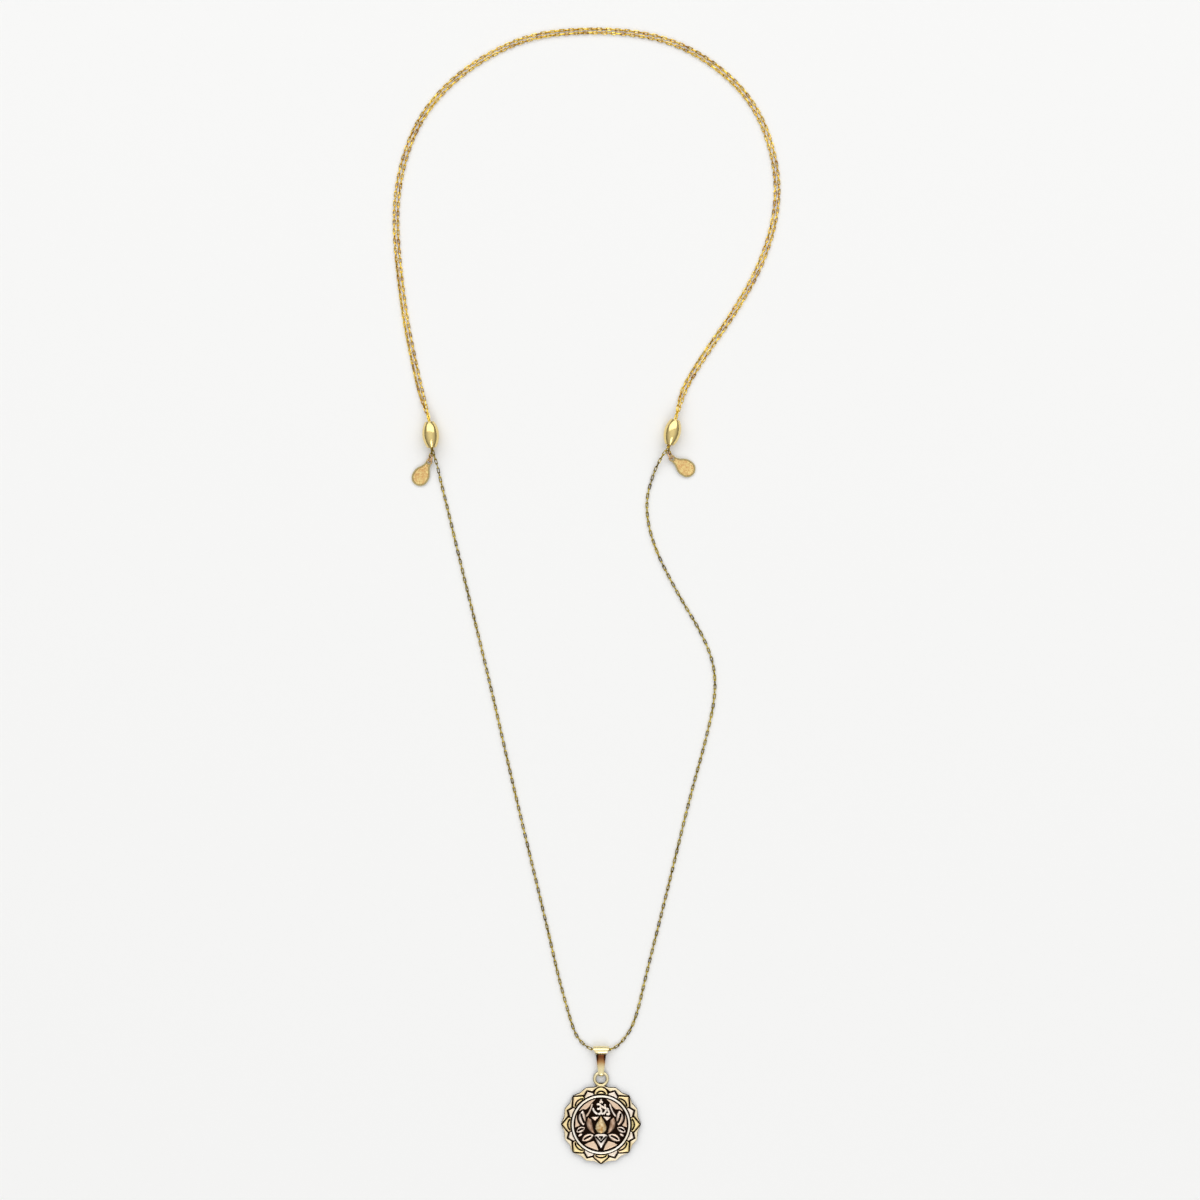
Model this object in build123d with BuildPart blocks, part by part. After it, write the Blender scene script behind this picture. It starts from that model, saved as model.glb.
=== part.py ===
from build123d import *
import os
from collections import namedtuple
from math import asin, cos, pi, radians, sin, sqrt, tan

# Lotus necklace, laid flat on the plane Z = 0 with the medallion's face up.
# Millimetres. +Y runs from the medallion to the back of the neck, +X to the right.

os.makedirs("parts", exist_ok=True)

# Chain, as the round envelope of its links, and the eye at each of its ends
chain_d = 1.0
strand_gap = 0.22
eye_hole_d = 1.0
eye_wire_d = 0.4

# Olive beads, each with both strands through its bore
bead_d = 5.4
bead_l = 8.2
bead_lip_w = 0.18
bore_play = 0.2
bead_lead = 0.5
left_bead_x, left_bead_y, left_bead_lean = -49.7, 51.4, 5.2
right_bead_x, right_bead_y, right_bead_lean = 27.4, 52.2, -13.4

# Jump rings and tags
jump_ring_d = 2.52
jump_wire_d = 0.42
jump_ring_tilt = 60
stub_l = 1.5
left_stub_heading, left_ring_heading, left_tag_heading = 260, 254, 239
right_stub_heading, right_ring_heading, right_tag_heading = 268, 299, 326
tag_l = 9.6
tag_w = 5.4
tag_oval_l = 6.8
tag_neck_w = 2.0
tag_t = 0.5
tag_hole_d = 1.3

# Bail, a strip folded round the chain and the medallion's loop
bail_wall = 0.4
bail_clearance = 0.55
bail_l = 7.3
bail_top_w = 5.1
bail_crease_w = 3.2
bail_end_w = 1.7
chain_low_x, chain_low_y = 4.64, -145.3
chain_seat = 0.25
chain_entry = 2.72

# Medallion and its cast loop
medallion_r = 12.85
scallop_depth = 0.85
back_petal_inset = 0.25
petal_pairs = 8
plate_t = 1.1
loop_wire_d = 1.0
loop_hole_d = 3.1
loop_reach = 1.65
loop_play = 0.15
loop_seat = 0.25
loop_web_w = 3.2
ring_r = 9.05
ring_w = 0.6
groove_w = 0.4

# Raised work on the medallion: heights above its back, and widths
ring_h = 2.0
front_petal_h = 1.8
back_petal_h = 1.55
field_h = 1.6
leaf_h = 1.75
upright_h = 1.85
drop_h = 2.05
sign_h = 1.9
border_h = 1.45
vein_depth = 0.35
vein_w = 0.3
rib_w = 0.4
sign_stroke_w = 0.5

# Sizes that follow from these
strand_offset = (chain_d + strand_gap) / 2
bore_r = strand_offset + chain_d / 2 + bore_play
floor_z = chain_d / 2
bead_z = bead_d / 2
eye_r = (eye_hole_d + eye_wire_d) / 2
jump_r = (jump_ring_d - jump_wire_d) / 2
jump_z = jump_r * sin(radians(jump_ring_tilt)) + jump_wire_d / 2
bail_roll_r = chain_d / 2 + bail_clearance + bail_wall
bail_leg_h = loop_wire_d + 2 * (loop_play + bail_wall)
chain_in_bail_z = bail_wall + chain_seat + chain_d / 2
bail_end_y = chain_low_y - bail_l
loop_r = (loop_hole_d + loop_wire_d) / 2
loop_y = bail_end_y + loop_seat - loop_r
medallion_y = loop_y - loop_reach - medallion_r
lotus_r = ring_r - ring_w / 2 - groove_w
petal_r = ring_r + ring_w / 2 + groove_w

# The chain's route, chosen by hand. Over the back both strands share one middle line.
# rise is the share of the climb from the floor to the bead, and twist the angle of the
# pair: 0 lies side by side, and 90 has one strand above the other.
Stop = namedtuple("Stop", "x y rise twist")
back_route = [
    Stop(-51.6, 60.7, 0.5, -45),
    Stop(-53.1, 65.4, 0, 0),
    Stop(-55.0, 73.8, 0, 0),
    Stop(-58.4, 90.5, 0, 0),
    Stop(-61.4, 117.7, 0, 0),
    Stop(-60.0, 134.6, 0, 0),
    Stop(-54.6, 150.6, 0, 0),
    Stop(-45.6, 162.5, 0, 0),
    Stop(-33.1, 172.2, 0, 0),
    Stop(-18.7, 178.8, 0, 0),
    Stop(-4.3, 180.7, 0, 0),
    Stop(11.0, 180.6, 0, 0),
    Stop(25.1, 178.2, 0, 0),
    Stop(37.9, 172.2, 0, 0),
    Stop(49.8, 162.2, 0, 0),
    Stop(57.1, 150.6, 0, 0),
    Stop(61.3, 134.6, 0, 0),
    Stop(60.5, 120.2, 0, 0),
    Stop(55.5, 104.9, 0, 0),
    Stop(47.2, 90.5, 0, 0),
    Stop(38.4, 78.0, 0, 0),
    Stop(33.8, 70.8, 0, 0),
    Stop(31.0, 65.5, 0, 0),
    Stop(29.8, 61.2, 0.5, 45),
]
left_route = [
    Stop(-47.8, 42.2, 0.45, 0),
    Stop(-46.7, 37.0, 0, 0),
    Stop(-44.5, 28.1, 0, 0),
    Stop(-40.3, 10.5, 0, 0),
    Stop(-32.0, -23.1, 0, 0),
    Stop(-22.6, -64.4, 0, 0),
    Stop(-13.0, -104.1, 0, 0),
    Stop(-8.8, -122.6, 0, 0),
    Stop(-6.2, -131.9, 0, 0),
    Stop(-4.0, -139.3, 0, 0),
    Stop(-1.8, -142.8, 0, 0),
]
right_route = [
    Stop(23.5, 43.6, 0.5, 0),
    Stop(21.1, 38.3, 0, 0),
    Stop(18.8, 29.4, 0, 0),
    Stop(20.8, 17.5, 0, 0),
    Stop(27.7, 3.1, 0, 0),
    Stop(39.4, -16.2, 0, 0),
    Stop(41.8, -29.5, 0, 0),
    Stop(38.2, -46.2, 0, 0),
    Stop(33.0, -64.7, 0, 0),
    Stop(25.1, -97.4, 0, 0),
    Stop(19.2, -120.7, 0, 0),
    Stop(15.5, -136.7, 0, 0),
    Stop(11.0, -143.3, 0, 0),
]


def level_way(heading):
    """Level unit vector at a heading in degrees from +X."""
    return Vector(cos(radians(heading)), sin(radians(heading)))


def bead_mouth(x, y, lean, side):
    """Point just beyond a bead's mouth, on its axis. Side 1 is the upper mouth, -1 the lower."""
    return Vector(x, y, bead_z) + level_way(lean + 90) * side * (bead_l / 2 + bead_lead)


def beside(before, here, after):
    """Vector in plan square to the route, one long, and longer where the route turns."""
    way_in = Vector(here.X - before.X, here.Y - before.Y).normalized()
    way_out = Vector(after.X - here.X, after.Y - here.Y).normalized()
    mean = (way_in + way_out).normalized()
    return Vector(-mean.Y, mean.X) / mean.dot(way_in)


# Middle line of both strands, from the left bead's lower mouth to the right bead's
low_left = bead_mouth(left_bead_x, left_bead_y, left_bead_lean, -1)
top_left = bead_mouth(left_bead_x, left_bead_y, left_bead_lean, 1)
top_right = bead_mouth(right_bead_x, right_bead_y, right_bead_lean, 1)
low_right = bead_mouth(right_bead_x, right_bead_y, right_bead_lean, -1)
climb = bead_z - floor_z
middle = [Vector(stop.x, stop.y, floor_z + stop.rise * climb) for stop in back_route]
middle = [low_left, top_left, *middle, top_right, low_right]
twists = [-90, -90, *[stop.twist for stop in back_route], 90, 90]


def strand(side):
    """Points of one strand. Side 1 lies outside over the back, and -1 inside."""
    start = middle[0] * 2 - middle[1]
    end = middle[-1] * 2 - middle[-2]
    points = []
    for before, here, after, twist in zip([start, *middle], middle, [*middle[1:], end], twists):
        across = beside(before, here, after) * cos(radians(twist))
        above = Vector(0, 0, sin(radians(twist)))
        points.append(here + (across + above) * side * strand_offset)
    return points


def down_to_bail(start, route, entry_x):
    """Points from a bead's lower mouth down one side to the middle of the bail."""
    points = [Vector(stop.x, stop.y, floor_z + stop.rise * (start.Z - floor_z)) for stop in route]
    entry = Vector(entry_x, chain_low_y, chain_in_bail_z)
    return [*points, entry, Vector(chain_low_x, chain_low_y, chain_in_bail_z)]


def stub_way(start, heading):
    """Way from a bead's lower mouth down to an eye at the jump ring's height."""
    drop = (start.Z - jump_z) / (stub_l + eye_r)
    return level_way(heading) * sqrt(1 - drop**2) - Vector(0, 0, drop)


def ring_plane(eye, heading, lean):
    """Plane of a ring that leans to its left, or right at lean -1. X runs from eye to tag."""
    along = level_way(heading)
    up = level_way(heading + 90 * lean) * cos(radians(jump_ring_tilt))
    up += Vector(0, 0, sin(radians(jump_ring_tilt)))
    return Plane(eye + along * jump_r, x_dir=along, z_dir=along.cross(up))


def eye_plane(eye, way, ring):
    """Plane of the chain's last eye, which the jump ring goes through squarely."""
    return Plane(eye, x_dir=way, z_dir=ring.y_dir - way * ring.y_dir.dot(way))


def turn_radii(points):
    """Radius at each point but the two ends, as large as its two runs allow."""
    radii = []
    for before, here, after in zip(points, points[1:], points[2:]):
        half_turn = radians((here - before).get_angle(after - here) / 2)
        shorter = min((here - before).length, (after - here).length)
        radii.append(0.45 * shorter / tan(half_turn))
    return radii


def chain(label, points, eye):
    """Tube of straight runs joined by tangent arcs, with the eye that ends it."""
    with BuildPart() as tube:
        with BuildLine() as route:
            FilletPolyline(*points, radius=turn_radii(points))
        with BuildSketch(Plane(points[0], z_dir=points[1] - points[0])):
            Circle(chain_d / 2)
        sweep(path=route.wire())
        length = route.wire().length
        ratio = tube.part.volume / (pi * chain_d**2 / 4 * length)
        with Locations(eye):
            Torus(eye_r, eye_wire_d / 2)
    tube.part.label = label
    runs = [(after - here).length for here, after in zip(points, points[1:])]
    print(label, "runs", [round(run, 1) for run in runs])
    print(label, "radii", [round(radius, 1) for radius in turn_radii(points)])
    print(label, "length", round(length, 1), "volume over section times length", round(ratio, 4))
    return tube


# At each end of the chain: stub, eye, jump ring and tag hole in a row
outside, inside = strand(1), strand(-1)
left_way = stub_way(outside[0], left_stub_heading)
left_eye = outside[0] + left_way * (stub_l + eye_r)
left_ring = ring_plane(left_eye, left_ring_heading, 1)
right_way = stub_way(inside[-1], right_stub_heading)
right_eye = inside[-1] + right_way * (stub_l + eye_r)
right_ring = ring_plane(right_eye, right_ring_heading, -1)

# From the bail up the right side, through the right bead and over the back to the left tag
chain_right = chain(
    "chain_right",
    [
        *reversed(down_to_bail(outside[-1], right_route, chain_low_x + chain_entry)),
        *reversed(outside),
        outside[0] + left_way * stub_l,
    ],
    eye_plane(left_eye, left_way, left_ring),
)

# From the bail up the left side, through the left bead and over the back to the right tag
chain_left = chain(
    "chain_left",
    [
        *reversed(down_to_bail(inside[0], left_route, chain_low_x - chain_entry)),
        *inside,
        inside[-1] + right_way * stub_l,
    ],
    eye_plane(right_eye, right_way, right_ring),
)


def olive_bead(label, x, y, lean):
    """Turned olive shell on its side, with thin lips at the mouths of its bore."""
    lip_r = bore_r + bead_lip_w
    with BuildPart() as bead:
        with BuildSketch(Plane((x, y, bead_z), x_dir=level_way(lean), z_dir=(0, 0, 1))):
            with BuildLine():
                ThreePointArc((lip_r, -bead_l / 2), (bead_d / 2, 0), (lip_r, bead_l / 2))
                Polyline(
                    (lip_r, bead_l / 2),
                    (bore_r, bead_l / 2),
                    (bore_r, -bead_l / 2),
                    (lip_r, -bead_l / 2),
                )
            make_face()
        revolve(axis=Axis((x, y, bead_z), level_way(lean + 90)))
    bead.part.label = label
    return bead


bead_left = olive_bead("bead_left", left_bead_x, left_bead_y, left_bead_lean)
bead_right = olive_bead("bead_right", right_bead_x, right_bead_y, right_bead_lean)


def jump_ring(label, plane):
    """Round wire ring."""
    with BuildPart() as ring:
        with Locations(plane):
            Torus(jump_r, jump_wire_d / 2)
    ring.part.label = label
    return ring


jump_ring_left = jump_ring("jump_ring_left", left_ring)
jump_ring_right = jump_ring("jump_ring_right", right_ring)


def paddle_tag(label, ring, heading):
    """Flat oval with a neck. Its hole hangs on the jump ring and its far end lies down."""
    far = tag_l - tag_neck_w / 2
    oval_x = far - tag_oval_l / 2
    tilt = asin((jump_z - tag_t / 2) / far)
    along = level_way(heading) * cos(tilt) - Vector(0, 0, sin(tilt))
    hole = ring.origin + ring.x_dir * jump_r
    with BuildPart() as tag:
        with BuildSketch(Plane(hole, x_dir=along, z_dir=along.cross(level_way(heading + 90)))):
            Circle(tag_neck_w / 2)
            with Locations((oval_x, 0)):
                Ellipse(tag_oval_l / 2, tag_w / 2)
            with Locations((oval_x / 2, 0)):
                Rectangle(oval_x, tag_neck_w)
            Circle(tag_hole_d / 2, mode=Mode.SUBTRACT)
        extrude(amount=tag_t / 2, both=True)
    tag.part.label = label
    return tag


tag_left = paddle_tag("tag_left", left_ring, left_tag_heading)
tag_right = paddle_tag("tag_right", right_ring, right_tag_heading)

# Bail: the strip's side view, cut to its flared outline as seen from above
with BuildPart() as bail:
    with BuildSketch(Plane.YZ.offset(chain_low_x)):
        with Locations((chain_low_y, bail_roll_r)):
            Circle(bail_roll_r)
        with Locations((bail_end_y, bail_leg_h / 2)):
            Circle(bail_leg_h / 2)
        with Locations((chain_low_y - bail_l / 2, bail_leg_h / 2)):
            Rectangle(bail_l, bail_leg_h)
            Rectangle(bail_l, bail_leg_h - 2 * bail_wall, mode=Mode.SUBTRACT)
        with Locations((bail_end_y, bail_leg_h / 2)):
            Circle(bail_leg_h / 2 - bail_wall, mode=Mode.SUBTRACT)
        with Locations((chain_low_y, bail_roll_r)):
            Circle(bail_roll_r - bail_wall, mode=Mode.SUBTRACT)
    extrude(amount=bail_top_w / 2, both=True)
    crease_y = -sqrt(bail_roll_r**2 - (bail_leg_h - bail_roll_r) ** 2)
    right_edge = [
        (bail_top_w / 2, bail_roll_r),
        (bail_top_w / 2, bail_roll_r / 2),
        (bail_crease_w / 2, crease_y),
        (bail_end_w / 2, -bail_l),
        (bail_end_w / 2, -bail_l - bail_leg_h),
    ]
    with BuildSketch(Plane((chain_low_x, chain_low_y, 0))):
        Polygon(*right_edge, *[(-x, y) for x, y in reversed(right_edge)])
    extrude(amount=2 * bail_roll_r, mode=Mode.INTERSECT)
bail.part.label = "bail"

# The lotus, left half: places are shares of the radius inside the ring. A leaf runs from
# base to tip, with one edge through outer and the other through inner.
Leaf = namedtuple("Leaf", "base tip outer inner")
side_leaves = [
    Leaf((-0.66, -0.042), (-0.695, 0.527), (-0.85, 0.25), (-0.59, 0.24)),
    Leaf((-0.63, -0.10), (-0.94, -0.29), (-0.82, -0.125), (-0.74, -0.285)),
    Leaf((-0.75, -0.36), (-0.87, -0.46), (-0.835, -0.385), (-0.785, -0.44)),
    Leaf((-0.28, -0.40), (-0.74, -0.63), (-0.56, -0.385), (-0.455, -0.62)),
]
side_veins = [
    Leaf((-0.645, 0.085), (-0.74, 0.385), (-0.725, 0.21), (-0.695, 0.23)),
    Leaf((-0.705, -0.165), (-0.86, -0.235), (-0.785, -0.18), (-0.785, -0.215)),
    Leaf((-0.40, -0.445), (-0.635, -0.565), (-0.525, -0.475), (-0.505, -0.525)),
]
upright_petal = Leaf((-0.234, -0.36), (-0.49, 0.28), (-0.55, -0.04), (-0.32, -0.02))
inner_petal = [(-0.39, 0.285), (-0.07, 0.31), (-0.226, 0.123)]
drop_r, drop_y, drop_tip_y = 0.24, -0.116, 0.341
heart_notch, heart_lobe, heart_side = (0, -0.395), (-0.14, -0.362), (-0.257, -0.43)
heart_flank, heart_tip = (-0.17, -0.64), (0, -0.92)
heart_vein = Leaf((-0.185, -0.475), (-0.01, -0.66), (-0.115, -0.585), (-0.08, -0.54))
fields = [
    [(-0.81, 0.585), (-0.275, 0.961), (-0.36, 0.766), (-0.43, 0.62), (-0.563, 0.57), (-0.67, 0.593)],
    [(-0.913, 0.408), (-0.993, -0.113), (-0.766, -0.036), (-0.856, 0.096), (-0.892, 0.263)],
    [(-0.635, -0.772), (-0.09, -0.996), (-0.155, -0.79), (-0.275, -0.63), (-0.48, -0.69)],
]

# Rib of the petal behind the sign, and the Om sign, whose strokes are each an arc through
# three places: a three with a tail at its right, and a pointed mark over them
Stroke = namedtuple("Stroke", "start through end")
back_rib = Stroke((-0.57, 0.30), (-0.45, 0.5), (-0.36, 0.79))
sign_strokes = [
    Stroke((-0.163, 0.745), (-0.01, 0.705), (-0.088, 0.604)),
    Stroke((-0.155, 0.600), (-0.10, 0.598), (-0.045, 0.606)),
    Stroke((-0.045, 0.604), (0.012, 0.50), (-0.12, 0.405)),
    Stroke((-0.12, 0.405), (-0.244, 0.486), (-0.306, 0.64)),
    Stroke((0.0, 0.715), (0.089, 0.655), (0.225, 0.612)),
    Stroke((0.148, 0.782), (0.152, 0.72), (0.148, 0.65)),
    Stroke((0.25, 0.64), (0.272, 0.55), (0.326, 0.44)),
    Stroke((0.205, 0.58), (0.155, 0.475), (0.084, 0.40)),
    Stroke((0.009, 0.46), (0.04, 0.42), (0.084, 0.40)),
    Stroke((0.21, 0.43), (0.268, 0.39), (0.326, 0.44)),
    Stroke((0.0, 0.965), (0.003, 0.93), (0.0, 0.89)),
    Stroke((-0.065, 0.848), (-0.02, 0.865), (0.0, 0.895)),
    Stroke((0.0, 0.895), (0.03, 0.862), (0.078, 0.84)),
]

# Petals of the edge and the border behind the back ones, as shares of the medallion's radius,
# with the petal along +X. The topmost petal is a round one, and its groove lies along +Y.
front_petal = [(0.741, -0.163), (0.783, -0.1735), (0.965, 0), (0.783, 0.1735), (0.741, 0.163)]
front_groove = Stroke((0.775, -0.13), (0.825, 0), (0.775, 0.13))
back_petal = [(0.7385, -0.1105), (0.77, -0.1175), (0.868, 0), (0.77, 0.1175), (0.7385, 0.1105)]
border_fold = [(0.904, -0.333), (0.8156, -0.109), (0.906, 0), (0.8156, 0.109), (0.904, 0.333)]
border_rim = [(0.918, 0.3595), (0.911, 0.1805), (0.975, 0), (0.911, -0.1805), (0.918, -0.3595)]
top_petal_r = 0.163
top_groove = Stroke((-0.101, 0.778), (0, 0.827), (0.101, 0.778))


def at(place, side=1):
    """Point on the lotus from shares of its radius. Side -1 mirrors it."""
    return Vector(place[0] * side, place[1]) * lotus_r


def leaf_face(leaf, side):
    """Leaf of two arcs, as a face of the open sketch."""
    with BuildLine() as outline:
        ThreePointArc(at(leaf.base, side), at(leaf.outer, side), at(leaf.tip, side))
        ThreePointArc(at(leaf.tip, side), at(leaf.inner, side), at(leaf.base, side))
    make_face(outline.edges())


def field_face(corners, side):
    """Smooth field with its first edge along the ring's groove, as a face of the open sketch."""
    first, last = at(corners[0], side), at(corners[1], side)
    with BuildLine() as outline:
        ThreePointArc(first, (first + last).normalized() * lotus_r, last)
        Polyline(last, *[at(corner, side) for corner in corners[2:]], first)
    make_face(outline.edges())


def stroke_face(points, width):
    """Round-ended stroke along an arc, as a face of the open sketch."""
    with BuildLine():
        arc = ThreePointArc(*points)
    SlotArc(arc, width)


face_plane = Plane((chain_low_x, medallion_y, 0))
root_z = plate_t / 2
petal_step = 360 / petal_pairs

with BuildPart() as medallion:
    # Plate with a scalloped edge, and the web under its loop
    with BuildSketch(face_plane):
        insets = [0, scallop_depth, back_petal_inset, scallop_depth] * petal_pairs
        ways = [level_way(90 + i * petal_step / 4) for i in range(4 * petal_pairs)]
        Polygon(*[way * (medallion_r - inset) for way, inset in zip(ways, insets)])
        with Locations((0, medallion_r - loop_web_w / 4)):
            Rectangle(loop_web_w, loop_web_w / 2)
        with Locations((0, medallion_r + loop_reach)):
            Circle(loop_r, mode=Mode.SUBTRACT)
    extrude(amount=plate_t)

    # Loop cast in one with the plate
    with Locations((chain_low_x, loop_y, bail_leg_h / 2)):
        Torus(loop_r, loop_wire_d / 2)

    # Thin ring round the lotus
    with BuildSketch(face_plane.offset(root_z)):
        Circle(ring_r + ring_w / 2)
        Circle(ring_r - ring_w / 2, mode=Mode.SUBTRACT)
    extrude(amount=ring_h - root_z)

    # Front petals, with a round one in place of the topmost
    with BuildSketch(face_plane.offset(root_z)):
        with PolarLocations(0, petal_pairs - 1, 90 + petal_step, 360 - petal_step):
            Polygon(*[Vector(*place) * medallion_r for place in front_petal])
        with Locations((0, petal_r)):
            Circle(top_petal_r * medallion_r)
        Circle(petal_r, mode=Mode.SUBTRACT)
    extrude(amount=front_petal_h - root_z)
    with BuildSketch(face_plane.offset(front_petal_h - vein_depth)):
        with PolarLocations(0, petal_pairs - 1, 90 + petal_step, 360 - petal_step):
            stroke_face([Vector(*place) * medallion_r for place in front_groove], vein_w)
        stroke_face([Vector(*place) * medallion_r for place in top_groove], vein_w)
    extrude(amount=2 * vein_depth, mode=Mode.SUBTRACT)

    # Back petals between them
    with BuildSketch(face_plane.offset(root_z)):
        with PolarLocations(0, petal_pairs, 90 + petal_step / 2):
            Polygon(*[Vector(*place) * medallion_r for place in back_petal])
    extrude(amount=back_petal_h - root_z)

    # Border behind the back petals, clear of the loop and the round petal
    with BuildSketch(face_plane.offset(root_z)):
        with PolarLocations(0, petal_pairs, 90 + petal_step / 2):
            Polygon(*[Vector(*place) * medallion_r for place in (*border_fold, *border_rim)])
        with Locations((0, medallion_r + loop_reach)):
            Circle(loop_r + loop_wire_d / 2 + groove_w, mode=Mode.SUBTRACT)
        with Locations((0, petal_r)):
            Circle(top_petal_r * medallion_r + groove_w, mode=Mode.SUBTRACT)
    extrude(amount=border_h - root_z)

    # Smooth fields inside the ring, and the rib of the petal behind the sign
    with BuildSketch(face_plane.offset(root_z)):
        for side in (1, -1):
            for corners in fields:
                field_face(corners, side)
            stroke_face([at(place, side) for place in back_rib], rib_w)
    extrude(amount=field_h - root_z)

    # Leaves at the sides, each but the smallest with a vein
    with BuildSketch(face_plane.offset(root_z)):
        for side in (1, -1):
            for leaf in side_leaves:
                leaf_face(leaf, side)
    extrude(amount=leaf_h - root_z)
    with BuildSketch(face_plane.offset(leaf_h - vein_depth)):
        for side in (1, -1):
            for vein in side_veins:
                leaf_face(vein, side)
    extrude(amount=2 * vein_depth, mode=Mode.SUBTRACT)

    # Upright petals and the small ones between them and the drop
    with BuildSketch(face_plane.offset(root_z)):
        for side in (1, -1):
            leaf_face(upright_petal, side)
            Polygon(*[at(corner, side) for corner in inner_petal])
    extrude(amount=upright_h - root_z)

    # Drop-shaped middle petal over the heart-shaped one
    with BuildSketch(face_plane.offset(root_z)):
        with Locations(at((0, drop_y))):
            Circle(drop_r * lotus_r)
        touch = asin(drop_r / (drop_tip_y - drop_y))
        flank = (drop_r * cos(touch), drop_y + drop_r * sin(touch))
        Polygon(at((0, drop_tip_y)), at(flank, -1), at((0, drop_y)), at(flank))
        for side in (1, -1):
            with BuildLine():
                ThreePointArc(at(heart_notch), at(heart_lobe, side), at(heart_side, side))
                ThreePointArc(at(heart_side, side), at(heart_flank, side), at(heart_tip))
                Line(at(heart_tip), at(heart_notch))
            make_face()
    extrude(amount=drop_h - root_z)
    with BuildSketch(face_plane.offset(drop_h - vein_depth)):
        for side in (1, -1):
            leaf_face(heart_vein, side)
    extrude(amount=2 * vein_depth, mode=Mode.SUBTRACT)

    # Sign above the lotus
    with BuildSketch(face_plane.offset(root_z)):
        for stroke in sign_strokes:
            stroke_face([at(place) for place in stroke], sign_stroke_w)
    extrude(amount=sign_h - root_z)
medallion.part.label = "medallion"

for piece in (
    chain_left,
    chain_right,
    bead_left,
    bead_right,
    jump_ring_left,
    jump_ring_right,
    tag_left,
    tag_right,
    bail,
    medallion,
):
    export_step(piece.part, f"parts/{piece.part.label}.step")
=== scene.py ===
from cmath import phase, rect
from math import asin, atan2, copysign, cos, pi, radians, sin, sqrt, tau

import bmesh
import bpy
import numpy as np
from mathutils import Matrix, Vector


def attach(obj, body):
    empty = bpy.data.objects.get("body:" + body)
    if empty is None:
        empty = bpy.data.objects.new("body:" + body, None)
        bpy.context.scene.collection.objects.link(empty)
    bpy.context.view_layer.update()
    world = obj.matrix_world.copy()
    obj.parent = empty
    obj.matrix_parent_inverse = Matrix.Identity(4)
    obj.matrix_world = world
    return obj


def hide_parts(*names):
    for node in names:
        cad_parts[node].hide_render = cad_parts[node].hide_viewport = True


# Lotus necklace, laid flat with the medallion's face up. The CAD frame is in metres, with
# the floor at Z = 0, +Y towards the back of the neck and +X to the right.
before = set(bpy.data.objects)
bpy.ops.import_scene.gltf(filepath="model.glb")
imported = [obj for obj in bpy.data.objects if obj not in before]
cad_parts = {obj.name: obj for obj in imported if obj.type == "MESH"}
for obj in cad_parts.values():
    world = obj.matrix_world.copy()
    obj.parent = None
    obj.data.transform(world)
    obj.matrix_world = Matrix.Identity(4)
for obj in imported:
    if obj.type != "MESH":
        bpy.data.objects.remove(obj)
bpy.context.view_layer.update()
mm = 0.001

# Studio. The necklace lies on a plain white table and is photographed from straight above,
# under two softboxes, in a room that is light overhead and dark at the horizon, because
# polished metal needs dark walls to look round.


def linear(hex_colour):
    """Linear RGBA of an sRGB hex colour."""
    channels = [int(hex_colour[i : i + 2], 16) / 255 for i in (1, 3, 5)]
    return (*[c / 12.92 if c <= 0.04045 else ((c + 0.055) / 1.055) ** 2.4 for c in channels], 1)


def add(tree, kind, options, inputs):
    """Adds a shader node. Options are its own settings, and an input is a value or a socket."""
    node = tree.nodes.new("ShaderNode" + kind)
    for name, value in options.items():
        setattr(node, name, value)
    for name, value in inputs.items():
        if isinstance(value, bpy.types.NodeSocket):
            tree.links.new(value, node.inputs[name])
        else:
            node.inputs[name].default_value = value
    return node


def finish_piece(name, bm, material):
    """Turns a bmesh in metres into an object that shades smooth but for its sharp edges."""
    mesh = bpy.data.meshes.new(name)
    bm.to_mesh(mesh)
    bm.free()
    mesh.shade_smooth()
    mesh.set_sharp_from_angle(angle=radians(40))
    mesh.materials.append(material)
    piece = bpy.data.objects.new(name, mesh)
    bpy.context.scene.collection.objects.link(piece)
    return piece


def new_material(name):
    """Empty node material and its Principled shader."""
    material = bpy.data.materials.new(name)
    material.use_nodes = True
    return material, material.node_tree.nodes["Principled BSDF"]


# Matt white laminate of a table top, in the photograph's own shade of white. It has almost no
# gloss, so that the floor stays even.
table_white, shader = new_material("table_matt_white")
shader.inputs["Base Color"].default_value = linear("#F6F6F5")
shader.inputs["Roughness"].default_value = 0.9
shader.inputs["Specular IOR Level"].default_value = 0.1
table_reach = 8
bm = bmesh.new()
bmesh.ops.create_grid(bm, x_segments=1, y_segments=1, size=table_reach)
finish_piece("table", bm, table_white)

# The photograph's frame is 384 mm wide, and its centre lies here on the table
view_width = 384 * mm
view_centre = Vector((4.32, -1.36, 0)) * mm
lens_mm = 85
sensor_mm = 36
camera = bpy.data.objects.new("camera", bpy.data.cameras.new("camera"))
camera.data.lens = lens_mm
camera.data.sensor_width = sensor_mm
camera.location = view_centre + Vector((0, 0, view_width * lens_mm / sensor_mm))
bpy.context.scene.collection.objects.link(camera)
bpy.context.scene.camera = camera

# A wide softbox towards the back of the neck and a narrow one towards the medallion
for name, width, depth, energy, spot in (
    ("wide_softbox", 5.0, 1.9, 38, (0, 1.55, 1.7)),
    ("narrow_softbox", 0.7, 1.2, 6.6, (0.15, -1.5, 1.6)),
):
    softbox = bpy.data.objects.new(name, bpy.data.lights.new(name, "AREA"))
    softbox.data.shape = "RECTANGLE"
    softbox.data.size = width
    softbox.data.size_y = depth
    softbox.data.energy = energy
    softbox.location = spot
    softbox.rotation_euler = softbox.location.to_track_quat("Z", "Y").to_euler()
    bpy.context.scene.collection.objects.link(softbox)

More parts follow.
